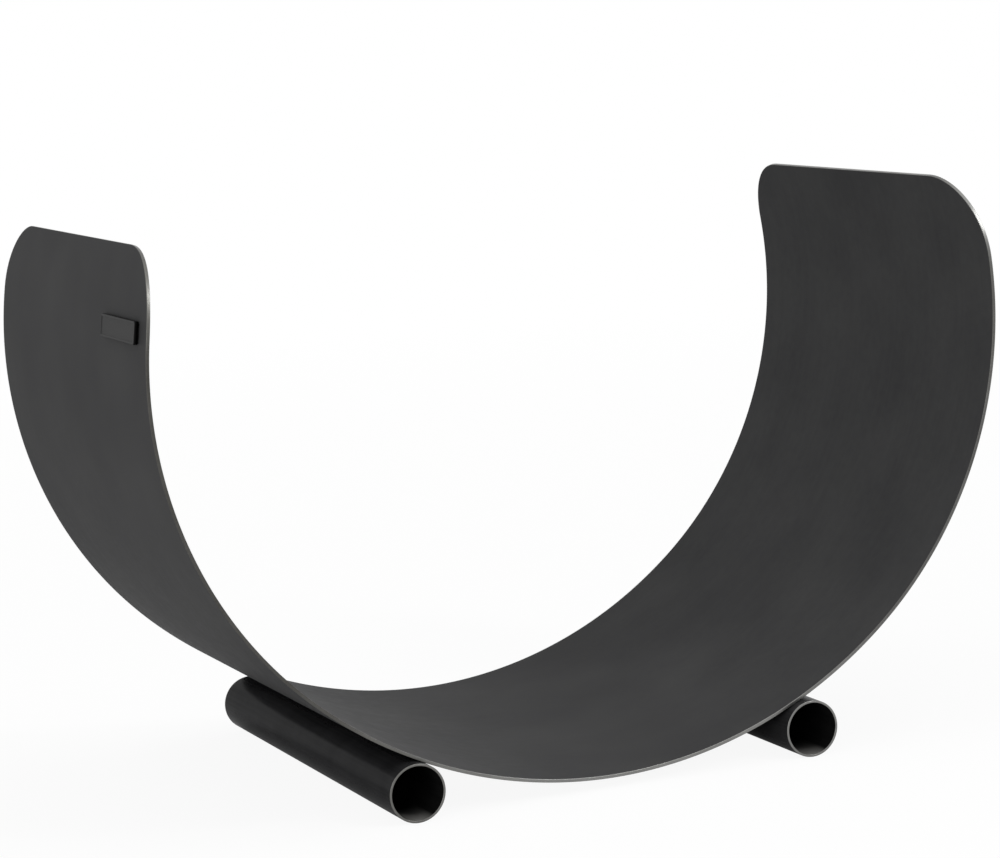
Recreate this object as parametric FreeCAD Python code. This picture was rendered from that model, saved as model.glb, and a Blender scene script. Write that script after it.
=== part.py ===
# Firewood rack: one rolled steel plate, open at the front and back, carried by two tube feet.
# Millimetres. +Z is up, -Y is the front, and the origin is on the floor under the middle of the rack.
import FreeCAD, Part
import math
import os

from FreeCAD import Vector

# Rolled plate. Radii are to its outer face, and angles are degrees from straight down.
plate_thickness = 3.0
plate_depth = 420.0
base_radius = 420.0
side_radius = 364.0
side_start_angle = 40.0
wing_end_angle = 108.3
front_corner_radius = 74.0
back_corner_radius = 59.0
plate_edge_break = 0.4

# Foot tubes, one under each half of the plate, parallel to its straight lines.
tube_diameter = 51.0
tube_wall = 2.0
tube_length = 415.0
tube_spacing = 380.0
tube_front_overhang = 9.0
tube_edge_break = 0.4

# Stitch welds in the nip between plate and tube, on the inboard side of each tube.
weld_fit_up_gap = 0.2
weld_seat_gap = 3.2
weld_bite = 3.3
weld_length = 40.0
weld_end_margin = 40.0
weld_count = 3

# Plain name plate on the left wing, and the pad that bonds it there.
badge_length = 90.0
badge_height = 19.0
badge_thickness = 3.5
badge_corner_radius = 2.0
badge_edge_break = 0.6
badge_border = 2.0
badge_field_depth = 0.5
badge_field_radius = 1.0
badge_front_gap = 19.0
badge_top_gap = 60.0
pad_thickness = 1.0
pad_inset = 1.0

# How far a cutting shape runs past what it cuts, and how near two faces are that count as touching.
cut_overrun = 5.0
touch_tolerance = 0.0005

LEFT = -1
RIGHT = 1
ALONG_Y = Vector(0, 1, 0)

# The tubes stand on the floor and the base arc rests on them, which sets the height of its centre.
tube_radius = tube_diameter / 2
tube_x = tube_spacing / 2
centre_distance = base_radius + weld_fit_up_gap + tube_radius
base_centre_z = tube_radius + math.sqrt(centre_distance**2 - tube_x**2)

# The side arcs leave the base arc with no kink, so both centres lie on one line through the join.
centre_shift = base_radius - side_radius
side_centre_x = centre_shift * math.sin(math.radians(side_start_angle))
side_centre_z = base_centre_z - centre_shift * math.cos(math.radians(side_start_angle))

# Front and back faces, with the middle of the whole rack at y = 0.
front_reach = plate_depth / 2 + tube_front_overhang
back_reach = max(plate_depth / 2, tube_length - front_reach)
plate_middle_y = (front_reach - back_reach) / 2
plate_front_y = plate_middle_y - plate_depth / 2
plate_back_y = plate_front_y + plate_depth
tube_front_y = plate_front_y - tube_front_overhang
tube_back_y = tube_front_y + tube_length


def base_point(angle, inset):
    """A point of the base arc, moved inwards by inset, in the plane of the plate's front edge."""
    radius = base_radius - inset
    turn = math.radians(angle)
    return Vector(radius * math.sin(turn), plate_front_y, base_centre_z - radius * math.cos(turn))


def side_point(side, angle, inset):
    """A point of the left or right side arc, moved inwards by inset."""
    radius = side_radius - inset
    turn = math.radians(angle)
    x = side * (side_centre_x + radius * math.sin(turn))
    return Vector(x, plate_front_y, side_centre_z - radius * math.cos(turn))


def rolled_edges(inset):
    """The profile's three arcs at one depth in the plate, from the left wing's end to the right one's."""
    middle_angle = (side_start_angle + wing_end_angle) / 2
    left_end, left_middle, left_start = (
        side_point(LEFT, angle, inset) for angle in (wing_end_angle, middle_angle, side_start_angle)
    )
    right_start, right_middle, right_end = (
        side_point(RIGHT, angle, inset) for angle in (side_start_angle, middle_angle, wing_end_angle)
    )
    return [
        Part.Arc(left_end, left_middle, left_start).toShape(),
        Part.Arc(left_start, base_point(0, inset), right_start).toShape(),
        Part.Arc(right_start, right_middle, right_end).toShape(),
    ]


def wing_end_edge(side):
    """The short straight line across the plate's thickness at the end of a wing."""
    outer = side_point(side, wing_end_angle, 0)
    inner = side_point(side, wing_end_angle, plate_thickness)
    return Part.LineSegment(outer, inner).toShape()


def corner_block(side, face_y, inward, radius):
    """What is cut away at one corner of a wing: a block with a round hollow that touches both edges.
    Inward is the way along Y from that face into the plate."""
    turn = math.radians(wing_end_angle)
    outward = Vector(side * math.sin(turn), 0, -math.cos(turn))
    downward = Vector(-side * math.cos(turn), 0, -math.sin(turn))
    wing_sag = radius**2 / side_radius
    below = wing_sag + plate_thickness + cut_overrun
    corner = side_point(side, wing_end_angle, 0)
    corner.y = face_y
    corner -= outward * below
    diagonal = downward + inward
    first = corner - diagonal * cut_overrun
    reach = radius + cut_overrun
    steps = (Vector(), downward, diagonal, inward, Vector())
    outline = Part.makePolygon([first + step * reach for step in steps])
    thickness = below + cut_overrun
    block = Part.Face(outline).extrude(outward * thickness)
    middle = corner + diagonal * radius
    return block.cut(Part.makeCylinder(radius, thickness, middle, outward))


def is_rim_edge(edge):
    """True for the edges between a rolled face and the cut rim, not for lines across the thickness
    or for the lines on which the base arc turns into a side arc."""
    middle = edge.valueAt((edge.FirstParameter + edge.LastParameter) / 2)
    joins = [abs(base_point(side_start_angle, inset).x) for inset in (0, plate_thickness)]
    on_join = any(math.isclose(abs(middle.x), join, rel_tol=1e-6) for join in joins)
    is_straight = isinstance(edge.Curve, Part.Line)
    is_across = edge.Length < 2 * plate_thickness
    return not is_across and not (is_straight and on_join)


def curved_plate():
    """The rolled plate: a crescent profile run front to back, with its corners and edges rounded off."""
    ends = [wing_end_edge(side) for side in (LEFT, RIGHT)]
    outline = Part.__sortEdges__(rolled_edges(0) + rolled_edges(plate_thickness) + ends)
    profile = Part.Face(Part.Wire(outline))
    plate = profile.extrude(ALONG_Y * plate_depth)
    front = (plate_front_y, ALONG_Y, front_corner_radius)
    back = (plate_back_y, ALONG_Y * -1, back_corner_radius)
    corners = [corner_block(side, *face) for side in (LEFT, RIGHT) for face in (front, back)]
    plate = plate.cut(corners, touch_tolerance).Solids[0]
    rim_edges = [edge for edge in plate.Edges if is_rim_edge(edge)]
    return plate.makeChamfer(plate_edge_break, rim_edges).Solids[0]


def rod(x, z, radius, overrun):
    """A round bar along Y that runs past both ends of the foot tubes by overrun."""
    start = Vector(x, tube_front_y - overrun, z)
    return Part.makeCylinder(radius, tube_length + 2 * overrun, start, ALONG_Y)


def foot_tube(side):
    """An open-ended round tube with its sharp cut edges broken."""
    x = side * tube_x
    outside = rod(x, tube_radius, tube_radius, 0)
    bore = rod(x, tube_radius, tube_radius - tube_wall, cut_overrun)
    tube = outside.cut(bore)
    end_edges = [edge for edge in tube.Edges if isinstance(edge.Curve, Part.Circle)]
    return tube.makeChamfer(tube_edge_break, end_edges)


def round_bead(middle, radius):
    """A rod with round ends, along Y, made by turning half of its outline about its own axis."""
    tip = ALONG_Y * (weld_length / 2)
    shoulder = ALONG_Y * (weld_length / 2 - radius)
    out = Vector(0, 0, radius)
    slant = (Vector(0, 1, 0) + Vector(0, 0, 1)).normalize() * radius
    back_slant = Vector(0, -slant.y, slant.z)
    edges = [
        Part.LineSegment(middle - tip, middle + tip).toShape(),
        Part.Arc(middle + tip, middle + shoulder + slant, middle + shoulder + out).toShape(),
        Part.LineSegment(middle + shoulder + out, middle - shoulder + out).toShape(),
        Part.Arc(middle - shoulder + out, middle - shoulder + back_slant, middle - tip).toShape(),
    ]
    return Part.Face(Part.Wire(edges)).revolve(middle, ALONG_Y, 360)


def bead_centres():
    """How far along Y each stitch lies: evenly spread over the length that plate and tube share."""
    first = max(plate_front_y, tube_front_y) + weld_end_margin + weld_length / 2
    last = min(plate_back_y, tube_back_y) - weld_end_margin - weld_length / 2
    pitch = (last - first) / (weld_count - 1)
    return [first + index * pitch for index in range(weld_count)]


def bead_seat(side):
    """Where the nip, inboard of a tube, has opened to weld_seat_gap: its middle and half its width."""
    lean = math.asin(tube_x / centre_distance)
    to_tube = Vector(side * math.sin(lean), 0, -math.cos(lean))
    inboard = Vector(-side * math.cos(lean), 0, -math.sin(lean))
    setback = math.sqrt(2 * weld_seat_gap / (1 / base_radius + 1 / tube_radius))
    plate_drop = base_radius - math.sqrt(base_radius**2 - setback**2)
    tube_drop = tube_radius - math.sqrt(tube_radius**2 - setback**2)
    half_gap = (weld_fit_up_gap + plate_drop + tube_drop) / 2
    base_centre = Vector(0, 0, base_centre_z)
    middle = base_centre + to_tube * (base_radius - plate_drop + half_gap) + inboard * setback
    return middle, half_gap


def foot_welds(side):
    """The stitch beads of one tube, cut to lie on the plate and on the tube."""
    middle, half_gap = bead_seat(side)
    plate_face = rod(0, base_centre_z, base_radius, cut_overrun)
    tube_face = rod(side * tube_x, tube_radius, tube_radius, cut_overrun)
    beads = [round_bead(middle + ALONG_Y * y, half_gap + weld_bite) for y in bead_centres()]
    return Part.makeCompound([bead.cut(plate_face).cut(tube_face).Solids[0] for bead in beads])


def rounded_slab(length, height, low, high, radius):
    """A flat slab about the middle of the badge's seat, with its four upright edges rounded."""
    slab = Part.makeBox(length, height, high - low, Vector(-length / 2, -height / 2, low))
    upright = [edge for edge in slab.Edges if abs(edge.tangentAt(edge.FirstParameter).z) > 0.5]
    return slab.makeFillet(radius, upright)


def badge_seat():
    """Where the badge sits: a frame on the left wing's outer face, with its third axis pointing out."""
    reach = badge_top_gap + badge_height / 2
    angle = wing_end_angle - math.degrees(reach / side_radius)
    turn = math.radians(angle)
    outward = Vector(-math.sin(turn), 0, -math.cos(turn))
    upward = Vector(-math.cos(turn), 0, math.sin(turn))
    middle = side_point(LEFT, angle, 0)
    middle.y = plate_front_y + badge_front_gap + badge_length / 2
    return FreeCAD.Placement(middle, FreeCAD.Rotation(ALONG_Y * -1, upward, outward, "ZXY"))


def badge_plate():
    """The bare name plate: a small bevelled slab with a plain sunk field inside a border."""
    top = pad_thickness + badge_thickness
    slab = rounded_slab(badge_length, badge_height, pad_thickness, top, badge_corner_radius)
    front_edges = [edge for edge in slab.Edges if edge.BoundBox.ZMin > top - badge_thickness / 2]
    slab = slab.makeChamfer(badge_edge_break, front_edges)
    field_length = badge_length - 2 * badge_border
    field_height = badge_height - 2 * badge_border
    field_floor = top - badge_field_depth
    field = rounded_slab(field_length, field_height, field_floor, top + cut_overrun, badge_field_radius)
    badge = slab.cut(field)
    badge.Placement = badge_seat()
    return badge


def badge_bonding_pad():
    """The pad behind the badge: flat towards the badge, curved towards the wing."""
    length = badge_length - 2 * pad_inset
    height = badge_height - 2 * pad_inset
    slab = rounded_slab(length, height, -cut_overrun, pad_thickness, badge_corner_radius)
    slab.Placement = badge_seat()
    wing_axis = Vector(LEFT * side_centre_x, plate_front_y, side_centre_z)
    wing_face = Part.makeCylinder(side_radius, plate_depth, wing_axis, ALONG_Y)
    return slab.cut(wing_face)


nodes = {
    "curved_plate": curved_plate(),
    "left_foot_tube": foot_tube(LEFT),
    "right_foot_tube": foot_tube(RIGHT),
    "left_foot_welds": foot_welds(LEFT),
    "right_foot_welds": foot_welds(RIGHT),
    "badge_plate": badge_plate(),
    "badge_bonding_pad": badge_bonding_pad(),
}

os.makedirs("parts", exist_ok=True)
for name, shape in nodes.items():
    shape.exportStep(f"parts/{name}.step")
    box = shape.BoundBox
    print(
        f"{name}: {len(shape.Solids)} solid(s), valid {shape.isValid()}, volume {shape.Volume:.1f},",
        f"x {box.XMin:.2f} to {box.XMax:.2f}, y {box.YMin:.2f} to {box.YMax:.2f},",
        f"z {box.ZMin:.2f} to {box.ZMax:.2f}",
    )
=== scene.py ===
# %% [markdown]
# # A firewood rack in Blender
# The rack is one steel plate, rolled into a crescent, on two round tubes. This lesson dresses its
# CAD model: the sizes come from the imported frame, and each piece made here stands for one CAD
# node. Everything is in metres, with the front of the rack towards -Y.

import math

import bmesh
import bpy
from mathutils import Matrix, Quaternion, Vector


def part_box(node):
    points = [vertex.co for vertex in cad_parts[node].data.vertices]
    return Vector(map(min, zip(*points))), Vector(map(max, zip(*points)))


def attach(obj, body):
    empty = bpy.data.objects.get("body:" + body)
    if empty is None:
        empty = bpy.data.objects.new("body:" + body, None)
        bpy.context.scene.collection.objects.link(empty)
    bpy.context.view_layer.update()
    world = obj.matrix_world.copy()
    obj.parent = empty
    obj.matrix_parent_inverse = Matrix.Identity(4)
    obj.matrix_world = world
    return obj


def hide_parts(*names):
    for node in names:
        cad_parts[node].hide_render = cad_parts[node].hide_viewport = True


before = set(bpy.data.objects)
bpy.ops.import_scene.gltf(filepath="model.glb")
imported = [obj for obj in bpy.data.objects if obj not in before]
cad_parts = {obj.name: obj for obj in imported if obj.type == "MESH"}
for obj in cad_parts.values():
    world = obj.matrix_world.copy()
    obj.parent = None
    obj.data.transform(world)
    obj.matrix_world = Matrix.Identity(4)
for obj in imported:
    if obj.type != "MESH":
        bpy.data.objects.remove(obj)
scene = bpy.context.scene
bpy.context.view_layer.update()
print("CAD nodes:", sorted(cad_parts))

# %% [markdown]
# Three small helpers serve the whole lesson. The first turns millimetres into Blender's metres,
# the second turns an sRGB hex colour into the linear numbers that shaders work with, and the third
# adds one node to any tree. Its inputs are a list, in the order of the sockets, or a dictionary
# with their names. A number or colour is set on the socket, and a node or socket is linked to it,
# so a tree reads from top to bottom like a recipe.

# %% Helpers
def mm(length):
    """Millimetres to metres."""
    return length / 1000


def linear(hex_colour):
    """An sRGB colour such as #3c3c3c as linear red, green, blue and alpha."""
    shares = [int(hex_colour[start:start + 2], 16) / 255 for start in (1, 3, 5)]
    lit = [s / 12.92 if s <= 0.04045 else ((s + 0.055) / 1.055) ** 2.4 for s in shares]
    return (*lit, 1.0)


def add(tree, kind, inputs=(), **settings):
    """Adds a node. A node as an input is its first output, and a list there links each item."""
    node = tree.nodes.new(kind)
    for name, value in settings.items():
        setattr(node, name, value)
    for key, value in inputs.items() if isinstance(inputs, dict) else enumerate(inputs):
        if isinstance(key, int):
            target = node.inputs[key]
        else:
            target = next(socket for socket in node.inputs if socket.enabled and socket.name == key)
        for item in value if isinstance(value, list) else [value]:
            if isinstance(item, bpy.types.Node):
                item = next(socket for socket in item.outputs if socket.enabled)
            if isinstance(item, bpy.types.NodeSocket):
                tree.links.new(item, target)
            else:
                target.default_value = item
    return node


print("charcoal #3c3c3c in linear numbers:", [round(value, 3) for value in linear("#3c3c3c")])

# %% [markdown]
# ## Finishes
# A finish is a tree of shader nodes. Nearly all of them draw noise, blend two values, spread a
# value over a range or do a step of arithmetic, so each of these has a helper, which the trees for
# shapes use as well. Noise is given by the size of its patches, as a ruler would measure them on
# the real piece, while Blender counts them to the metre.

# %% Helpers for finishes
def start_material(name):
    """A material with an empty tree."""
    material = bpy.data.materials.new(name)
    material.use_nodes = True
    material.node_tree.nodes.clear()
    return material, material.node_tree


def end_material(tree, inputs):
    """Ends a tree with its surface shader, which takes its inputs like any other node."""
    surface = add(tree, "ShaderNodeBsdfPrincipled", inputs)
    add(tree, "ShaderNodeOutputMaterial", {"Surface": surface})


def noise(tree, place, patch, detail):
    """Noise in soft patches of the given size."""
    return add(tree, "ShaderNodeTexNoise", {"Vector": place, "Scale": 1 / patch, "Detail": detail})


def mix(tree, kind, factor, first, second, **settings):
    """Blends two values, FLOAT or RGBA in kind: a factor of 0 gives the first, 1 the second."""
    blend = {"Factor": factor, "A": first, "B": second}
    return add(tree, "ShaderNodeMix", blend, data_type=kind, **settings)


def remap(tree, value, low, high, start=0.0, end=1.0):
    """Turns low into the start and high into the end, with an even ramp between them."""
    return add(tree, "ShaderNodeMapRange", [value, low, high, start, end])


def compute(tree, operation, *values, **settings):
    """Does a step of arithmetic, such as MULTIPLY, on numbers, nodes or sockets."""
    return add(tree, "ShaderNodeMath", values, operation=operation, **settings)


print(f"patches of 9 mm come {1 / mm(9):.0f} to the metre")

# %% [markdown]
# Hot-rolled steel comes from the mill with a tight skin of blue-black oxide. Rolled into shape and
# sealed, it reads as an even satin charcoal: no grain shows from a step away, only soft clouds a
# hand wide, finer mottling, and long faint streaks in the direction in which the sheet ran through
# the mill. A photograph of steel could be wrapped on, but noise in real sizes stays sharp at any
# distance. The pattern reads the plate's own "blank" attribute, which is each point's place on the
# flat sheet before it was rolled, so the streaks follow the curve.

# %% Mill-scale steel for the plate's faces
def mill_scale_steel():
    """Satin charcoal oxide skin: dull when faced, a soft sheen along it and no mirror image."""
    material, tree = start_material("mill_scale_steel")
    blank = add(tree, "ShaderNodeAttribute", attribute_name="blank").outputs["Vector"]
    clouds = noise(tree, blank, mm(110), detail=2.0)
    mottle = noise(tree, blank, mm(9), detail=4.0)
    stretched = add(tree, "ShaderNodeVectorMath", [blank, (0.02, 1.0, 1.0)], operation="MULTIPLY")
    streaks = noise(tree, stretched, mm(5), detail=3.0)
    fine = mix(tree, "FLOAT", 0.4, mottle, streaks)
    shade = mix(tree, "FLOAT", 0.45, clouds, fine)
    spread = remap(tree, shade, 0.3, 0.7)
    colour = mix(tree, "RGBA", spread, linear("#363637"), linear("#414141"))
    sheen = remap(tree, fine, 0.3, 0.7, start=0.42, end=0.52)
    # Real scale is rough at about 0.1 mm, which is drawn at 1.2 mm so that it shows at all.
    grain = noise(tree, blank, mm(1.2), detail=3.0)
    bump = add(tree, "ShaderNodeBump", {"Height": grain, "Strength": 0.25, "Distance": mm(0.05)})
    looks = {"Base Color": colour, "Roughness": sheen, "Normal": bump}
    # Oxide scatters nearly all light, so its mirror images are far weaker than those of a paint.
    end_material(tree, {**looks, "Specular IOR Level": 0.009})
    return material


plate_face = mill_scale_steel()
print("made", plate_face.name)

# %% [markdown]
# A laser leaves the cut edge bare: bright steel with fine lines across the sheet's thickness,
# where the beam stepped along. Air has dulled it in patches, and it is painted duller half way up
# the sides and brighter at the corners and the bottom, partly as worn metal and partly as a painted
# highlight. It is also painted darker on the left of the rack than on the right, as painted shade.
# A wave would draw the lines too evenly. They come from a noise that is squeezed flat along the
# thickness, so one recipe serves the front, the back and the wing ends alike, and the sawn ends of
# the tubes too.

# %% Bare cut steel for edges and tube ends
# Painted shade: the cut edges are drawn darker towards the left of the rack, between these places.
left_shade_from, left_shade_full_at = mm(-80), mm(-260)
left_shade_tint = "#d4d3d0"


def wear_and_highlight_share(tree, blank):
    """1 at the edge's bottom and corners, and 0 half way up: partly wear, partly a painted
    highlight.
    """
    length = add(tree, "ShaderNodeSeparateXYZ", [blank]).outputs["X"]
    run = compute(tree, "ABSOLUTE", length)
    # Places along the sheet, in mm from its middle: where a part is dull, and where it is bright.
    fades = {"bottom": (330, 150), "side": (645, 690), "end": (740, 690)}
    shares = {}
    for name, (dull_at, bright_at) in fades.items():
        shares[name] = remap(tree, run, mm(dull_at), mm(bright_at))
    corner = compute(tree, "MINIMUM", shares["side"], shares["end"])
    return compute(tree, "MAXIMUM", shares["bottom"], corner)


def painted_left_shade(tree):
    """1 on the rack's left side, where the edge is painted darker as shade, and 0 from the middle
    on.
    """
    place = add(tree, "ShaderNodeTexCoord").outputs["Object"]
    across = add(tree, "ShaderNodeSeparateXYZ", [place]).outputs["X"]
    return remap(tree, across, left_shade_from, left_shade_full_at)


def bare_cut_steel(tree, place, wear_and_painted_light, squeeze, dull, bright):
    """Bright raw metal, dulled in patches, with fine lines across the cut, painted highlight and
    shade.
    """
    # Real lines are about 0.3 mm apart, which is drawn at 0.9 mm so that they show.
    lines_at = add(tree, "ShaderNodeVectorMath", [place, squeeze], operation="MULTIPLY")
    lines = noise(tree, lines_at, mm(0.9), detail=2.0)
    film = noise(tree, place, mm(45), detail=4.0)
    dulled = mix(tree, "FLOAT", 0.35, film, lines)
    spread = remap(tree, dulled, 0.35, 0.65)
    # The bright share is partly wear and partly a painted highlight.
    shine = mix(tree, "FLOAT", 0.7, spread, wear_and_painted_light)
    clean = mix(tree, "RGBA", shine, linear(dull), linear(bright))
    # Painted shade: the left of the rack is drawn darker.
    left_shade_share = painted_left_shade(tree)
    colour = mix(tree, "RGBA", left_shade_share, clean, linear(left_shade_tint), blend_type="MULTIPLY")
    sheen = remap(tree, dulled, 0.0, 1.0, start=0.45, end=0.25)
    bump = add(tree, "ShaderNodeBump", {"Height": lines, "Strength": 0.2, "Distance": mm(0.05)})
    end_material(tree, {"Base Color": colour, "Roughness": sheen, "Normal": bump, "Metallic": 1.0})


plate_edge, edge_tree = start_material("laser_cut_steel")
edge_blank = add(edge_tree, "ShaderNodeAttribute", attribute_name="blank").outputs["Vector"]
edge_wear_and_highlight = wear_and_highlight_share(edge_tree, edge_blank)
edge_greys = {"dull": "#565553", "bright": "#8a8a88"}
bare_cut_steel(edge_tree, edge_blank, edge_wear_and_highlight, squeeze=(1.0, 1.0, 0.05), **edge_greys)

tube_end, end_tree = start_material("sawn_tube_steel")
end_place = add(end_tree, "ShaderNodeTexCoord").outputs["Object"]
end_greys = {"dull": "#666563", "bright": "#90908e"}
bare_cut_steel(end_tree, end_place, wear_and_painted_light=0.5, squeeze=(1.0, 0.2, 0.2), **end_greys)
print("made", plate_edge.name, "and", tube_end.name)

# %% [markdown]
# The tubes are drawn steel with a thin black finish, darker than the plate. Drawing leaves faint
# lines along the tube. The bore is near black, partly its raw dark skin and partly painted shade,
# and along its bottom near the open ends it is painted pale, as painted light that falls in there.
# One recipe gives both: the painted light lies where a point is low in the tube and close to an
# end, and the outside has none.

# %% Black steel for the tubes
tube_low, tube_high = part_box("right_foot_tube")
tube_radius = (tube_high.z - tube_low.z) / 2
tube_middle_y = (tube_low.y + tube_high.y) / 2
tube_half_length = (tube_high.y - tube_low.y) / 2
# Painted light: how high and how far in the pale pool reaches in each mouth.
mouth_light_height = mm(6)
mouth_light_from = tube_half_length - mm(45)


def painted_mouth_light(tree, place):
    """How much painted light a point gets: 1 at the bottom of a tube's mouth, fading up and
    inwards.
    """
    axes = add(tree, "ShaderNodeSeparateXYZ", [place]).outputs
    low = remap(tree, axes["Z"], mouth_light_height, 0.0)
    from_middle = compute(tree, "SUBTRACT", axes["Y"], tube_middle_y)
    distance = compute(tree, "ABSOLUTE", from_middle)
    near_end = remap(tree, distance, mouth_light_from, tube_half_length)
    return compute(tree, "MULTIPLY", low, near_end)


def black_steel(name, dark, light, roughness, has_mouth_light=False):
    """Satin black with faint lines along the tube, and painted light on the bore's floor at its
    mouths.
    """
    material, tree = start_material(name)
    place = add(tree, "ShaderNodeTexCoord").outputs["Object"]
    drawn_at = add(tree, "ShaderNodeVectorMath", [place, (1.0, 0.015, 1.0)], operation="MULTIPLY")
    drawn = noise(tree, drawn_at, mm(2.5), detail=3.0)
    clouds = noise(tree, place, mm(30), detail=3.0)
    shade = mix(tree, "FLOAT", 0.5, drawn, clouds)
    spread = remap(tree, shade, 0.35, 0.65)
    colour = mix(tree, "RGBA", spread, linear(dark), linear(light))
    if has_mouth_light:
        # Painted light: a pale pool on the bore's floor near each mouth.
        colour = mix(tree, "RGBA", painted_mouth_light(tree, place), colour, linear("#8c8b88"))
    # The finish is grained at about 0.2 mm, which is drawn at 1 mm so that it shows.
    grain = noise(tree, place, mm(1.0), detail=2.0)
    bump = add(tree, "ShaderNodeBump", {"Height": grain, "Strength": 0.15, "Distance": mm(0.04)})
    looks = {"Base Color": colour, "Roughness": roughness, "Normal": bump}
    end_material(tree, {**looks, "Specular IOR Level": 0.017})
    return material


tube_outside = black_steel("black_drawn_steel", "#1c1c1d", "#282829", roughness=0.25)
# The bore's near-black colour is partly raw skin and partly painted shade.
tube_bore = black_steel("raw_tube_bore", "#0c0c0c", "#161616", roughness=0.6, has_mouth_light=True)
print("made", tube_outside.name, "and", tube_bore.name)

# %% [markdown]
# A weld bead is bare metal that froze in ripples. Heat leaves straw and blue oxide on it, so its
# colour wanders between grey, brown and blue. Two tones would look like paint, so a ramp of three
# follows a noise as large as the heat marks.

# %% Weld metal
def weld_metal():
    """Grey metal with patches of heat tint and a fair shine."""
    material, tree = start_material("mild_steel_weld")
    place = add(tree, "ShaderNodeTexCoord").outputs["Object"]
    tint = noise(tree, place, mm(7), detail=3.0)
    ramp = add(tree, "ShaderNodeValToRGB", {"Fac": tint})
    stops = ramp.color_ramp.elements
    stops.new(0.5)
    heat_tints = ((0.32, "#4b5058"), (0.5, "#635848"), (0.68, "#7d776d"))
    for stop, (position, hue) in zip(stops, heat_tints):
        stop.position = position
        stop.color = linear(hue)
    sheen = remap(tree, tint, 0.0, 1.0, start=0.28, end=0.5)
    end_material(tree, {"Base Color": ramp, "Roughness": sheen, "Metallic": 0.9})
    return material


bead_metal = weld_metal()
print("made", bead_metal.name)

# %% [markdown]
# The badge is a small cast plate with a satin dark finish. Its sides are painted almost black and
# its sunk field a little darker, as painted shade, while its border is lighter with wear. This
# could be painted by hand, but the mesh knows how far each point stands out, and the finish reads
# that. The pad that bonds the badge to the wing is black closed-cell foam.

# %% Cast badge metal and foam
def cast_badge_metal():
    """Satin dark grey with a fine cast skin and painted shade. Relief is 0 on the dark sides, 1 on
    the border.
    """
    material, tree = start_material("cast_badge_metal")
    place = add(tree, "ShaderNodeTexCoord").outputs["Object"]
    relief = add(tree, "ShaderNodeAttribute", attribute_name="relief").outputs["Fac"]
    # A cast skin is pitted at about 0.2 mm, which is drawn at 0.8 mm so that it shows.
    skin = noise(tree, place, mm(0.8), detail=3.0)
    wear = remap(tree, skin, 0.0, 1.0, start=0.75, end=1.25)
    # Painted shade on the sides and in the field, and wear on the border.
    wear_and_painted_light = compute(tree, "MULTIPLY", relief, wear)
    colour = mix(tree, "RGBA", wear_and_painted_light, linear("#161616"), linear("#3b3b3b"))
    sheen = remap(tree, skin, 0.0, 1.0, start=0.4, end=0.55)
    bump = add(tree, "ShaderNodeBump", {"Height": skin, "Strength": 0.3, "Distance": mm(0.08)})
    looks = {"Base Color": colour, "Roughness": sheen, "Normal": bump}
    end_material(tree, {**looks, "Specular IOR Level": 0.025})
    return material


def black_foam():
    """Dull black with small round cells."""
    material, tree = start_material("closed_cell_foam")
    place = add(tree, "ShaderNodeTexCoord").outputs["Object"]
    cells = add(tree, "ShaderNodeTexVoronoi", {"Vector": place, "Scale": 1 / mm(0.5)})
    colour = mix(tree, "RGBA", cells, linear("#080808"), linear("#1a1a1a"))
    bump = add(tree, "ShaderNodeBump", {"Height": cells, "Strength": 0.5, "Distance": mm(0.1)})
    end_material(tree, {"Base Color": colour, "Roughness": 0.9, "Normal": bump})
    return material


badge_metal = cast_badge_metal()
pad_foam = black_foam()
print("made", badge_metal.name, "and", pad_foam.name)

# %% [markdown]
# ## The rolled plate
# The plate follows a rule, so Geometry Nodes make it: a flat blank with round corners, rolled
# along three arcs that meet without a kink. It could be a bent curve with a bevel, but then the
# round corners would have to be cut afterwards. Here a plain grid is thickened first, in small
# steps that round its rim, then one formula shapes the blank, and a second one rolls it.

# %% Sizes of the plate, and where it rests on the tubes
plate_thickness = mm(3.0)
base_radius = mm(420.0)
side_radius = mm(364.0)
side_start_angle = math.radians(40.0)
wing_end_angle = math.radians(108.3)
front_corner_radius = mm(74.0)
back_corner_radius = mm(59.0)
plate_edge_break = mm(0.4)
weld_fit_up_gap = mm(0.2)

plate_low, plate_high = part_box("curved_plate")
plate_depth = plate_high.y - plate_low.y
plate_middle_y = (plate_low.y + plate_high.y) / 2
base_run = base_radius * side_start_angle
side_run = side_radius * (wing_end_angle - side_start_angle)

tube_x = (tube_low.x + tube_high.x) / 2
centre_distance = base_radius + weld_fit_up_gap + tube_radius
base_centre_z = tube_radius + math.sqrt(centre_distance**2 - tube_x**2)
# The angle from straight down to a tube, seen from the centre of the base arc.
lean = math.asin(tube_x / centre_distance)
print(f"sheet {2 * (base_run + side_run):.3f} m long and {plate_depth:.3f} m deep")
print(f"centre of the base arc {base_centre_z:.4f} m above the floor")

# %% Start the tree: a grid, thickened in steps
def start_tree(name, sizes):
    """A geometry tree with one named input for each size. Returns the tree and its inputs."""
    tree = bpy.data.node_groups.new(name, "GeometryNodeTree")
    for size in sizes:
        tree.interface.new_socket(size, in_out="INPUT", socket_type="NodeSocketFloat")
    tree.interface.new_socket("Mesh", in_out="OUTPUT", socket_type="NodeSocketGeometry")
    return tree, tree.nodes.new("NodeGroupInput").outputs


def tell(tree):
    """Prints how far a tree has grown."""
    print("tree", tree.name, "has", len(tree.nodes), "nodes so far")


straight_columns, corner_columns, rows = 132, 20, 24
half_columns = straight_columns + corner_columns
rim_steps = 3
slab_merge_distance = 1e-6
plate_sizes = {
    "Base Radius": base_radius, "Base Run": base_run,
    "Side Radius": side_radius, "Side Run": side_run,
    "Depth": plate_depth, "Thickness": plate_thickness, "Edge Break": plate_edge_break,
    "Front Corner Radius": front_corner_radius, "Back Corner Radius": back_corner_radius,
    "Base Centre Height": base_centre_z, "Middle": plate_middle_y,
}
plate_tree, plate_inputs = start_tree("rolled plate", plate_sizes)


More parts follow.
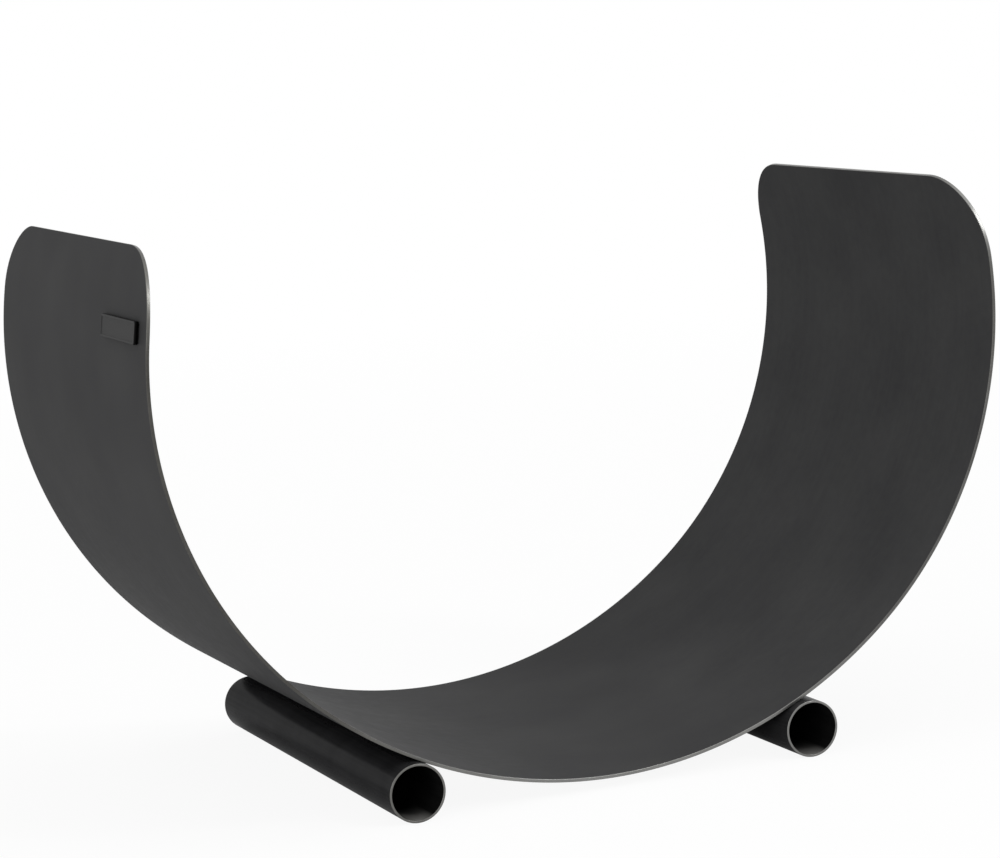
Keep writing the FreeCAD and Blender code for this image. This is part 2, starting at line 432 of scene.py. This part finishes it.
def thick_grid(tree, size):
    """A grid over -1 to 1 both ways, closed into a slab of real height, with close rim levels."""
    counts = {"Vertices X": 2 * half_columns + 1, "Vertices Y": rows + 1}
    grid = add(tree, "GeometryNodeMeshGrid", {"Size X": 2.0, "Size Y": 2.0, **counts})
    twice = compute(tree, "MULTIPLY", size["Edge Break"], 2.0)
    wall = compute(tree, "SUBTRACT", size["Thickness"], twice)
    angles = [math.pi / 2 * step / rim_steps for step in range(rim_steps + 1)]
    shares = [math.cos(low) - math.cos(high) for low, high in zip(angles, angles[1:])]
    lifts = [compute(tree, "MULTIPLY", size["Edge Break"], share) for share in shares]
    top, selection = grid, True
    for lift in lifts + [wall] + lifts[::-1]:
        upward = add(tree, "ShaderNodeCombineXYZ", {"Z": lift})
        steps = {"Mesh": top, "Selection": selection, "Offset": upward, "Individual": False}
        raised = add(tree, "GeometryNodeExtrudeMesh", steps, mode="FACES")
        top, selection = raised, raised.outputs["Top"]
    underside = add(tree, "GeometryNodeFlipFaces", {"Mesh": grid})
    both = add(tree, "GeometryNodeJoinGeometry", {"Geometry": [underside, top]})
    merge = {"Geometry": both, "Distance": slab_merge_distance}
    return add(tree, "GeometryNodeMergeByDistance", merge)


slab = thick_grid(plate_tree, plate_inputs)
tell(plate_tree)

# %% [markdown]
# The first formula shapes the blank. Most columns of the grid share out the straight run, and the
# last ones step round the corner by equal angles, so the corner is a true arc however coarse the
# grid is. The front corners are rounder than the back ones, so the formula is used for either
# edge, and the rows between them blend the two. Near the top and bottom face the outline draws in,
# which rounds the rim.

# %% Shape the flat blank
# The grid ends at 1, and rounding can leave its last points a hair short of that.
grid_edge = 0.99999


def rim_inset(tree, size, height):
    """How far the outline draws in at a height in the sheet: a quarter circle at either face."""
    from_top = compute(tree, "SUBTRACT", size["Thickness"], height)
    nearest = compute(tree, "MINIMUM", height, from_top)
    up = compute(tree, "DIVIDE", nearest, size["Edge Break"], use_clamp=True)
    below = compute(tree, "SUBTRACT", 1.0, up)
    square = compute(tree, "MULTIPLY", below, below)
    rest = compute(tree, "SUBTRACT", 1.0, square)
    out = compute(tree, "POWER", rest, 0.5)
    drawn_in = compute(tree, "SUBTRACT", 1.0, out)
    return compute(tree, "MULTIPLY", drawn_in, size["Edge Break"])


def outline(tree, size, reach, inset, corner_radius):
    """Where a column ends on the front or back edge: its length along the sheet, and its depth."""
    corner_start = straight_columns / half_columns
    along = remap(tree, reach, 0.0, corner_start)
    turn = remap(tree, reach, corner_start, 1.0, end=math.pi / 2)
    radius = compute(tree, "SUBTRACT", corner_radius, inset)
    run = compute(tree, "ADD", size["Base Run"], size["Side Run"])
    straight = compute(tree, "SUBTRACT", run, corner_radius)
    start = compute(tree, "MULTIPLY", along, straight)
    half = compute(tree, "MULTIPLY", size["Depth"], 0.5)
    narrow = compute(tree, "SUBTRACT", half, corner_radius)
    place = []
    for way, base in (("SINE", start), ("COSINE", narrow)):
        share = compute(tree, way, turn)
        place.append(compute(tree, "MULTIPLY_ADD", radius, share, base))
    return place


def flat_blank(tree, size, slab):
    """Moves the slab's points to their places on the flat sheet: length along X, depth along Y."""
    place = add(tree, "ShaderNodeSeparateXYZ", [add(tree, "GeometryNodeInputPosition")]).outputs
    reach = compute(tree, "ABSOLUTE", place["X"])
    side = compute(tree, "SIGN", place["X"])
    inset = rim_inset(tree, size, place["Z"])
    front_length, front_depth = outline(tree, size, reach, inset, size["Front Corner Radius"])
    back_length, back_depth = outline(tree, size, reach, inset, size["Back Corner Radius"])
    forward = compute(tree, "MULTIPLY", front_depth, -1.0)
    across = remap(tree, place["Y"], -1.0, 1.0)
    length = mix(tree, "FLOAT", across, front_length, back_length)
    y = mix(tree, "FLOAT", across, forward, back_depth)
    x = compute(tree, "MULTIPLY", length, side)
    flat = add(tree, "ShaderNodeCombineXYZ", [x, y, place["Z"]])
    return add(tree, "GeometryNodeSetPosition", {"Geometry": slab, "Position": flat})


def mark_rim(tree, slab):
    """Remembers which faces are on the rim: those that lie at the very edge of the grid."""
    position = add(tree, "GeometryNodeInputPosition")
    far = add(tree, "ShaderNodeVectorMath", [position], operation="ABSOLUTE")
    place = add(tree, "ShaderNodeSeparateXYZ", [far]).outputs
    furthest = compute(tree, "MAXIMUM", place["X"], place["Y"])
    at_edge = compute(tree, "GREATER_THAN", furthest, grid_edge)
    marks = {"Geometry": slab, "Name": "cut_edge", "Value": at_edge}
    return add(tree, "GeometryNodeStoreNamedAttribute", marks, data_type="BOOLEAN", domain="FACE")


blank = flat_blank(plate_tree, plate_inputs, mark_rim(plate_tree, slab))
tell(plate_tree)

# %% [markdown]
# The second formula rolls the sheet. A point turns about the base arc first and then, past the
# join, about the tighter side arc, so one sum gives its place with no case to choose: the
# difference of the two radii turned by the first angle, plus the side radius turned by both.

# %% Roll the blank
def roll(tree, size, blank):
    """Rolls the flat sheet upwards on both sides. Its upper face becomes the inside."""
    flat = add(tree, "GeometryNodeInputPosition")
    keep = {"Geometry": blank, "Name": "blank", "Value": flat}
    kind = {"data_type": "FLOAT_VECTOR", "domain": "POINT"}
    kept = add(tree, "GeometryNodeStoreNamedAttribute", keep, **kind)
    place = add(tree, "ShaderNodeSeparateXYZ", [flat]).outputs
    run = compute(tree, "ABSOLUTE", place["X"])
    side = compute(tree, "SIGN", place["X"])
    on_base = compute(tree, "MINIMUM", run, size["Base Run"])
    past_base = compute(tree, "SUBTRACT", run, on_base)
    base_turn = compute(tree, "DIVIDE", on_base, size["Base Radius"])
    side_turn = compute(tree, "DIVIDE", past_base, size["Side Radius"])
    turn = compute(tree, "ADD", base_turn, side_turn)
    shift = compute(tree, "SUBTRACT", size["Base Radius"], size["Side Radius"])
    radius = compute(tree, "SUBTRACT", size["Side Radius"], place["Z"])
    reach = {}
    for way in ("SINE", "COSINE"):
        near = compute(tree, way, base_turn)
        far = compute(tree, way, turn)
        first = compute(tree, "MULTIPLY", shift, near)
        reach[way] = compute(tree, "MULTIPLY_ADD", radius, far, first)
    x = compute(tree, "MULTIPLY", reach["SINE"], side)
    y = compute(tree, "ADD", place["Y"], size["Middle"])
    z = compute(tree, "SUBTRACT", size["Base Centre Height"], reach["COSINE"])
    rolled = add(tree, "ShaderNodeCombineXYZ", [x, y, z])
    return add(tree, "GeometryNodeSetPosition", {"Geometry": kept, "Position": rolled})


rolled_sheet = roll(plate_tree, plate_inputs, blank)
tell(plate_tree)

# %% [markdown]
# A tree works as a modifier, so it runs once on an empty mesh, and its result is copied to a plain
# mesh. Normals are weighted by the size of the faces, so that broad faces stay true beside thin
# rims. Each finished piece then takes the place of one CAD node.

# %% Run the tree
def finish_tree(tree, geometry, material, edge_material=None):
    """Ends a tree: real meshes, smooth shading, a main finish, and another on marked faces."""
    real = add(tree, "GeometryNodeRealizeInstances", {"Geometry": geometry})
    smooth = add(tree, "GeometryNodeSetShadeSmooth", [real])
    dressed = add(tree, "GeometryNodeSetMaterial", {"Geometry": smooth, "Material": material})
    if edge_material:
        marked = add(tree, "GeometryNodeInputNamedAttribute", ["cut_edge"], data_type="BOOLEAN")
        edges = {"Geometry": dressed, "Selection": marked, "Material": edge_material}
        dressed = add(tree, "GeometryNodeSetMaterial", edges)
    add(tree, "NodeGroupOutput", {"Mesh": dressed})


def settle(name, mesh, tree=None, sizes=None):
    """Runs a tree, if there is one, weights the normals and returns an object of plain mesh."""
    source = bpy.data.objects.new(name + "_source", mesh)
    scene.collection.objects.link(source)
    if tree:
        modifier = source.modifiers.new("shape", "NODES")
        modifier.node_group = tree
        for item in tree.interface.items_tree:
            if item.name in sizes:
                modifier[item.identifier] = sizes[item.name]
    source.modifiers.new("normals", "WEIGHTED_NORMAL").keep_sharp = True
    view = bpy.context.evaluated_depsgraph_get()
    shaped = source.evaluated_get(view)
    made = bpy.data.meshes.new_from_object(shaped, preserve_all_data_layers=True, depsgraph=view)
    bpy.data.objects.remove(source)
    made.name = name
    piece = bpy.data.objects.new(name, made)
    scene.collection.objects.link(piece)
    return piece


def stand_for(piece, node):
    """The piece rides on the rack's one body, hides its CAD node and prints how far it is from its
    box.
    """
    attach(piece, "root")
    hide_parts(node)
    low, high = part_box(node)
    off = 0.0
    for axis in range(3):
        places = [vertex.co[axis] for vertex in piece.data.vertices]
        off = max(off, abs(min(places) - low[axis]), abs(max(places) - high[axis]))
    faces = len(piece.data.polygons)
    print(f"{piece.name}: {faces} faces, within {off * 1000:.2f} mm of its CAD node's box")


finish_tree(plate_tree, rolled_sheet, plate_face, plate_edge)
rolled_plate = settle("rolled_plate", bpy.data.meshes.new("seed"), plate_tree, plate_sizes)
stand_for(rolled_plate, "curved_plate")

# %% [markdown]
# ## The foot tubes
# A tube is its wall's section, turned about the tube's axis. The section is a long thin rectangle
# with its corners rounded off, as a file leaves them, and that one loop of points gives the
# outside, the bore and both sawn ends. A cylinder with a hole would do, but its rims would be
# knife-sharp. The black finish has run into the hairline gap between tube and plate, so a low seam
# lies along the tube where the two meet, and no light shows through.

# %% Section of a tube's wall
tube_wall = mm(2.0)
tube_edge_break = mm(0.4)
tube_segments = 96
seam_overlap = mm(0.05)
seam_height = weld_fit_up_gap + seam_overlap


def rounded_loop(length, height, radius, steps):
    """Points round a rectangle with rounded corners, anticlockwise from its right-hand side."""
    points = []
    for quarter, (x, y) in enumerate(((1, 1), (-1, 1), (-1, -1), (1, -1))):
        middle = Vector((x * (length / 2 - radius), y * (height / 2 - radius)))
        for step in range(steps + 1):
            turn = math.pi / 2 * (quarter + step / steps)
            points.append(middle + radius * Vector((math.cos(turn), math.sin(turn))))
    return points


wall_section = rounded_loop(2 * tube_half_length, tube_wall, tube_edge_break, rim_steps)
print("the section of the wall has", len(wall_section), "points")

# %% Turn the tubes
def bridge(shape, lower, upper):
    """Joins two closed rings of points with a band of faces, and returns the faces."""
    faces = []
    for index in range(len(lower)):
        after = (index + 1) % len(lower)
        faces.append(shape.faces.new((lower[index], lower[after], upper[after], upper[index])))
    return faces


def settle_shape(name, shape, materials):
    """Turns points and faces into a smooth piece with the given finishes."""
    for face in shape.faces:
        face.smooth = True
    mesh = bpy.data.meshes.new(name)
    for material in materials:
        mesh.materials.append(material)
    shape.to_mesh(mesh)
    shape.free()
    return settle(name, mesh)


def tube_ring(middle, along, across):
    """One point of the section, turned about the tube's axis, with the seam where the plate is."""
    towards_plate = math.pi / 2 + math.copysign(lean, middle.x)
    seam_spoke = round(towards_plate / (2 * math.pi) * tube_segments)
    is_outermost = across == max(point.y for point in wall_section)
    points = []
    for spoke in range(tube_segments):
        turn = 2 * math.pi * spoke / tube_segments
        seam = seam_height if is_outermost and spoke == seam_spoke else 0.0
        radius = tube_radius - tube_wall / 2 + across + seam
        out = radius * Vector((math.cos(turn), 0, math.sin(turn)))
        points.append(middle + out + Vector((0, along, 0)))
    return points


def turned_tube(name, node):
    """A tube with rounded rims: the outside, the bore and the sawn ends have a finish each."""
    low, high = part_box(node)
    finishes = [tube_outside, tube_bore, tube_end]
    tube = bmesh.new()
    rings = []
    for along, across in wall_section:
        points = tube_ring((low + high) / 2, along, across)
        rings.append([tube.verts.new(point) for point in points])
    for index, (along, across) in enumerate(wall_section):
        following = (index + 1) % len(rings)
        finish = tube_end
        if abs(along - wall_section[following].x) > tube_half_length:
            finish = tube_bore if across < 0 else tube_outside
        for face in bridge(tube, rings[index], rings[following]):
            face.material_index = finishes.index(finish)
    bmesh.ops.recalc_face_normals(tube, faces=tube.faces)
    return settle_shape(name, tube, finishes)


for side in ("left", "right"):
    node = f"{side}_foot_tube"
    stand_for(turned_tube(f"{side}_tube", node), node)

# %% [markdown]
# ## The welds
# Short stitches of weld hold each tube, in the narrow gap on its inboard side. A bead is a row of
# overlapping ripples, each one left by the pool of metal as it froze. Scattered discs would look
# much the same, but they leave faces inside one another, so here one closed bead is rippled by a
# formula.

# %% Sizes of the stitches
weld_seat_gap = mm(3.2)
weld_bite = mm(3.3)
weld_length = mm(40.0)
weld_count = 3
weld_sink = mm(0.6)
ripple_pitch = mm(2.4)
ripple_height = mm(0.5)
bead_columns, bead_rows = 120, 32
# The higher this power is, the blunter the ends of a bead are.
bead_end_power = 6.0
bead_merge_distance = 1e-7

curvature = 1 / base_radius + 1 / tube_radius
setback = math.sqrt(2 * weld_seat_gap / curvature)
plate_drop = base_radius - math.sqrt(base_radius**2 - setback**2)
tube_drop = tube_radius - math.sqrt(tube_radius**2 - setback**2)
half_gap = (weld_fit_up_gap + plate_drop + tube_drop) / 2
bead_distance = base_radius - plate_drop + half_gap
bead_x = bead_distance * math.sin(lean) - setback * math.cos(lean)
bead_z = base_centre_z - bead_distance * math.cos(lean) - setback * math.sin(lean)


def weld_sizes(node, sign):
    """Sizes of one tube's stitches. The sign is -1 on the left and 1 on the right."""
    low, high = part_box(node)
    return {
        "Length": weld_length, "Radius": half_gap + weld_bite,
        "Ripple Pitch": ripple_pitch, "Ripple Height": ripple_height,
        "Bead X": sign * bead_x, "Bead Z": bead_z, "First Y": low.y + weld_length / 2,
        "Stitch Pitch": (high.y - low.y - weld_length) / (weld_count - 1),
        "Base Centre Z": base_centre_z, "Plate Reach": base_radius - weld_sink,
        "Tube X": sign * tube_x, "Tube Z": tube_radius, "Tube Reach": tube_radius - weld_sink,
    }


welds = {"left": weld_sizes("left_foot_welds", -1), "right": weld_sizes("right_foot_welds", 1)}
print(f"bead {bead_x * 1000:.1f} mm out from the middle and {bead_z * 1000:.1f} mm up")

# %% Ripple one bead
def rippled_bead(tree, size):
    """One closed bead along Y, with round ends and ripples that trail at its sides."""
    counts = {"Vertices X": bead_columns + 1, "Vertices Y": bead_rows + 1}
    grid = add(tree, "GeometryNodeMeshGrid", {"Size X": 2.0, "Size Y": 2.0, **counts})
    place = add(tree, "ShaderNodeSeparateXYZ", [add(tree, "GeometryNodeInputPosition")]).outputs
    turn = compute(tree, "MULTIPLY", place["Y"], math.pi)
    reach = compute(tree, "ABSOLUTE", place["X"])
    raised = compute(tree, "POWER", reach, bead_end_power)
    rest = compute(tree, "SUBTRACT", 1.0, raised, use_clamp=True)
    taper = compute(tree, "POWER", rest, 0.5)
    half = compute(tree, "MULTIPLY", size["Length"], 0.5)
    along = compute(tree, "MULTIPLY", place["X"], half)
    sine = compute(tree, "SINE", turn)
    cosine = compute(tree, "COSINE", turn)
    trail = compute(tree, "MULTIPLY_ADD", sine, size["Ripple Pitch"], along)
    count = compute(tree, "DIVIDE", trail, size["Ripple Pitch"])
    phase = compute(tree, "MULTIPLY", count, math.pi)
    wave = compute(tree, "SINE", phase)
    scallop = compute(tree, "ABSOLUTE", wave)
    dip = compute(tree, "SUBTRACT", scallop, 1.0)
    crest = compute(tree, "MULTIPLY_ADD", dip, size["Ripple Height"], size["Radius"])
    radius = compute(tree, "MULTIPLY", crest, taper)
    x = compute(tree, "MULTIPLY", radius, cosine)
    z = compute(tree, "MULTIPLY", radius, sine)
    bead = add(tree, "ShaderNodeCombineXYZ", [x, along, z])
    shaped = add(tree, "GeometryNodeSetPosition", {"Geometry": grid, "Position": bead})
    merge = {"Geometry": shaped, "Distance": bead_merge_distance}
    return add(tree, "GeometryNodeMergeByDistance", merge)


weld_tree, weld_inputs = start_tree("stitch welds", welds["left"])
one_bead = rippled_bead(weld_tree, weld_inputs)
tell(weld_tree)

# %% [markdown]
# The bead is set out three times along the tube. As it is, it would cut into the plate and the
# tube, so a point that lies too near the axis of either one is pushed straight out. Then every
# bead lies on both, as if it had run there.

# %% Set out the beads and press them home
def press_home(tree, beads, axis_x, axis_z, least):
    """Pushes points too near an axis along Y straight out from it, to the least distance."""
    position = add(tree, "GeometryNodeInputPosition")
    level = add(tree, "ShaderNodeSeparateXYZ", [position]).outputs["Y"]
    axis = add(tree, "ShaderNodeCombineXYZ", [axis_x, level, axis_z])
    spoke = add(tree, "ShaderNodeVectorMath", [position, axis], operation="SUBTRACT")
    length = add(tree, "ShaderNodeVectorMath", [spoke], operation="LENGTH").outputs["Value"]
    wanted = compute(tree, "MAXIMUM", length, least)
    stretch = compute(tree, "DIVIDE", wanted, length)
    place = add(tree, "ShaderNodeVectorMath", [spoke, stretch, axis], operation="MULTIPLY_ADD")
    return add(tree, "GeometryNodeSetPosition", {"Geometry": beads, "Position": place})


def stitch_row(tree, size, bead):
    """Three beads in a row, a little uneven, that lie on the plate and on the tube."""
    start = add(tree, "ShaderNodeCombineXYZ", [size["Bead X"], size["First Y"], size["Bead Z"]])
    step = add(tree, "ShaderNodeCombineXYZ", {"Y": size["Stitch Pitch"]})
    row = {"Count": weld_count, "Start Location": start, "Offset": step}
    line = add(tree, "GeometryNodeMeshLine", row)
    stitches = add(tree, "GeometryNodeInstanceOnPoints", {"Points": line, "Instance": bead})
    beads = add(tree, "GeometryNodeRealizeInstances", {"Geometry": stitches})
    lumps = add(tree, "ShaderNodeTexNoise", {"Scale": 1 / mm(6), "Detail": 1.0}).outputs["Color"]
    centred = add(tree, "ShaderNodeVectorMath", [lumps, (0.5, 0.5, 0.5)], operation="SUBTRACT")
    push = add(tree, "ShaderNodeVectorMath", [centred, size["Ripple Height"]], operation="MULTIPLY")
    uneven = add(tree, "GeometryNodeSetPosition", {"Geometry": beads, "Offset": push})
    on_plate = press_home(tree, uneven, 0.0, size["Base Centre Z"], size["Plate Reach"])
    return press_home(tree, on_plate, size["Tube X"], size["Tube Z"], size["Tube Reach"])


finish_tree(weld_tree, stitch_row(weld_tree, weld_inputs, one_bead), bead_metal)
for side, sizes in welds.items():
    beads = settle(f"{side}_weld_beads", bpy.data.meshes.new("seed"), weld_tree, sizes)
    stand_for(beads, f"{side}_foot_welds")

# %% [markdown]
# ## The badge
# A small plain plate is bonded to the outside of the left wing. A bevelled box would lack its sunk
# field, so it is a stack of rounded rectangles, one above the other: up the side, round the edge,
# across the border and down into the field, with a face at either end. Each level also says how
# much it stands in relief, which its finish uses for painted shade on the sides and the field, and
# for wear on the border.

# %% Build the badge
badge_length = mm(90.0)
badge_height = mm(19.0)
badge_thickness = mm(3.5)
badge_corner_radius = mm(2.0)
badge_edge_break = mm(0.6)
badge_border = mm(2.0)
badge_field_depth = mm(0.5)
badge_field_radius = mm(1.0)
# A relief a little under 1 paints the sunk field a little darker, as painted shade.
badge_field_relief = 0.9
badge_front_gap = mm(19.0)
badge_top_gap = mm(60.0)
pad_thickness = mm(1.0)
corner_steps = 6


def badge_seat():
    """A frame on the left wing's outer face: its axes point to the front, up the wing, and out."""
    angle = wing_end_angle - (badge_top_gap + badge_height / 2) / side_radius
    outward = Vector((-math.sin(angle), 0, -math.cos(angle)))
    upward = Vector((-math.cos(angle), 0, math.sin(angle)))
    shift = base_radius - side_radius
    to_axis = Vector((-math.sin(side_start_angle), 0, -math.cos(side_start_angle)))
    middle = Vector((0, 0, base_centre_z)) + to_axis * shift + outward * side_radius
    middle.y = plate_low.y + badge_front_gap + badge_length / 2
    columns = Matrix((Vector((0, -1, 0)), upward, outward)).transposed().to_4x4()
    return Matrix.Translation(middle) @ columns


def stacked(name, levels, material):
    """A closed stack of rounded rectangles: length, height, level, corner radius and relief."""
    stack = bmesh.new()
    relief_layer = stack.verts.layers.float.new("relief")
    loops = []
    for length, height, level, radius, relief in levels:
        points = rounded_loop(length, height, radius, corner_steps)
        loop = [stack.verts.new((x, y, level)) for x, y in points]
        for vertex in loop:
            vertex[relief_layer] = relief
        loops.append(loop)
    for lower, upper in zip(loops, loops[1:]):
        bridge(stack, lower, upper)
    stack.faces.new(loops[0][::-1])
    stack.faces.new(loops[-1])
    bmesh.ops.transform(stack, matrix=badge_seat(), verts=stack.verts)
    return settle_shape(name, stack, [material])


def badge_levels():
    """The badge from its back to the floor of its sunk field."""
    top = pad_thickness + badge_thickness
    levels = [(badge_length, badge_height, pad_thickness, badge_corner_radius, 0.0)]
    for step in range(rim_steps + 1):
        turn = math.pi / 2 * step / rim_steps
        inset = badge_edge_break * (1 - math.cos(turn))
        level = top - badge_edge_break * (1 - math.sin(turn))
        drawn_in = (badge_length - 2 * inset, badge_height - 2 * inset)
        levels.append((*drawn_in, level, badge_corner_radius - inset, turn / (math.pi / 2)))
    field = (badge_length - 2 * badge_border, badge_height - 2 * badge_border)
    lip = badge_field_depth / 2
    levels.append((field[0] + 2 * lip, field[1] + 2 * lip, top, badge_field_radius + lip, 1.0))
    levels.append((*field, top - badge_field_depth, badge_field_radius, badge_field_relief))
    return levels


badge = stacked("badge", badge_levels(), badge_metal)
stand_for(badge, "badge_plate")

# %% [markdown]
# The pad is flat towards the badge and curved towards the wing. The curved side never shows, so a
# plain stack is pushed a little into the plate's face, and no light passes behind it.

# %% Build the pad
pad_inset = mm(1.0)
pad_length = badge_length - 2 * pad_inset
pad_height = badge_height - 2 * pad_inset
pad_sink = mm(0.2)
pad_levels = [
    (pad_length, pad_height, -pad_sink, badge_corner_radius, 0.0),
    (pad_length, pad_height, pad_thickness, badge_corner_radius, 0.0),
]
pad = stacked("badge_pad", pad_levels, pad_foam)
stand_for(pad, "badge_bonding_pad")

# %% [markdown]
# ## Camera
# A long lens stands to the left of the rack and a little above it, and is tilted a few degrees, as
# a hand-held or cut-out picture often is. Its place is written as angles about the point it looks
# at.

# %% Place the camera
camera_azimuth = math.radians(-23.80)
camera_elevation = math.radians(8.21)
camera_roll = math.radians(-3.06)
camera_distance = mm(2957.3)
camera_target = Vector((mm(-0.4), mm(4.5), mm(290.9)))
sensor_width = 36.0
camera_lens = 116.61

camera = bpy.data.objects.new("camera", bpy.data.cameras.new("camera"))
scene.collection.objects.link(camera)
scene.camera = camera
camera.data.sensor_width = sensor_width
camera.data.lens = camera_lens
backward = Vector((
    math.sin(camera_azimuth) * math.cos(camera_elevation),
    -math.cos(camera_azimuth) * math.cos(camera_elevation),
    math.sin(camera_elevation),
))
camera.location = camera_target + backward * camera_distance
camera.rotation_mode = "QUATERNION"
level_view = (-backward).to_track_quat("-Z", "Y")
camera.rotation_quaternion = level_view @ Quaternion((0, 0, 1), camera_roll)
print("camera at", [round(value, 3) for value in camera.location])

# %% [markdown]
# ## Floor and light
# The rack stands in a white studio. The floor is plain white to the camera and in reflections, and
# lights the rack at an ordinary level otherwise. It keeps part of its own shading, so the rack's
# soft shadow still lies on it. Close to the rack a mirror image of the floor keeps most of that
# shading, because the tubes and the plate's underside mirror the floor just where they shade it.

# %% White floor
floor_half = 30.0
floor_white_share = 0.92
floor_mirror_share = 0.1
floor_white_from, floor_white_at = 0.8, 3.5


def seen_rays(tree):
    """Two switches: one is 1 for camera rays, the other for rays in gloss or through glass."""
    path = add(tree, "ShaderNodeLightPath").outputs
    mirrored = compute(tree, "MAXIMUM", path["Is Glossy Ray"], path["Is Transmission Ray"])
    return path["Is Camera Ray"], mirrored


def white_floor():
    """A pale painted floor that shows white, with a soft part of its shadow."""
    material, tree = start_material("pale_floor_paint")
    matt = {"Base Color": linear("#f0f0f0"), "Roughness": 0.9, "Specular IOR Level": 0.0}
    paint = add(tree, "ShaderNodeBsdfPrincipled", matt)
    glow = add(tree, "ShaderNodeEmission", {"Color": linear("#ffffff"), "Strength": 1.0})
    place = add(tree, "ShaderNodeTexCoord").outputs["Object"]
    away = add(tree, "ShaderNodeVectorMath", [place], operation="LENGTH").outputs["Value"]
    shown = []
    for ray, near_share in zip(seen_rays(tree), (floor_white_share, floor_mirror_share)):
        white = remap(tree, away, floor_white_from, floor_white_at, start=near_share)
        shown.append(compute(tree, "MULTIPLY", ray, white))
    part = compute(tree, "MAXIMUM", *shown)
    both = add(tree, "ShaderNodeMixShader", [part, paint, glow])
    add(tree, "ShaderNodeOutputMaterial", {"Surface": both})
    return material


floor_mesh = bpy.data.meshes.new("floor")
corners = [(x * floor_half, y * floor_half, 0.0) for x, y in ((-1, -1), (1, -1), (1, 1), (-1, 1))]
floor_mesh.from_pydata(corners, [], [(0, 1, 2, 3)])
floor_mesh.materials.append(white_floor())
floor = bpy.data.objects.new("floor", floor_mesh)
scene.collection.objects.link(floor)
print("made", floor.name)

# %% [markdown]
# The world does the same: white where it is seen, and an even light from all sides otherwise. A
# picture of a room could light the rack too, but its windows would show in the sheen.

# %% White world
world_level = 0.65
world = bpy.data.worlds.new("white studio")
scene.world = world
world.use_nodes = True
sky = world.node_tree
sky.nodes.clear()
light = add(sky, "ShaderNodeBackground", {"Color": linear("#ffffff"), "Strength": world_level})
shown = add(sky, "ShaderNodeBackground", {"Color": linear("#ffffff"), "Strength": 1.0})
seen = compute(sky, "MAXIMUM", *seen_rays(sky))
mixed = add(sky, "ShaderNodeMixShader", [seen, light, shown])
add(sky, "ShaderNodeOutputWorld", {"Surface": mixed})
print("made", world.name)

# %% [markdown]
# Soft lamps give the shapes their form. One hangs overhead, and one on the left lights the outside
# of the near wing and the inside of the far one. A tall narrow one stands in front, high on the
# right, where the cut edges of both wings mirror it as they turn over their corners, so each
# corner has one bright glint.

# %% Studio lamps
def soft_lamp(name, place, aim, size, power):
    """An upright rectangular lamp that faces the point it is aimed at."""
    lamp = bpy.data.lights.new(name, "AREA")
    lamp.shape = "RECTANGLE"
    lamp.size, lamp.size_y = size
    lamp.energy = power
    holder = bpy.data.objects.new(name, lamp)
    holder.location = place
    holder.rotation_euler = (Vector(aim) - Vector(place)).to_track_quat("-Z", "Y").to_euler()
    scene.collection.objects.link(holder)


soft_lamp("overhead_softbox", place=(0, 0, 3.2), aim=(0, 0, 0), size=(3.0, 3.0), power=22.0)
soft_lamp("left_softbox", place=(-3.0, -2.4, 0.9), aim=(0, 0, 0.3), size=(2.0, 1.4), power=32.0)
soft_lamp("front_softbox", place=(2.12, -2.6, 2.95), aim=(0, 0, 0.4), size=(0.7, 1.7), power=52.0)

# %% [markdown]
# The view keeps the colours of the finishes as they are.

# %% Colours as they are
scene.view_settings.view_transform = "Standard"
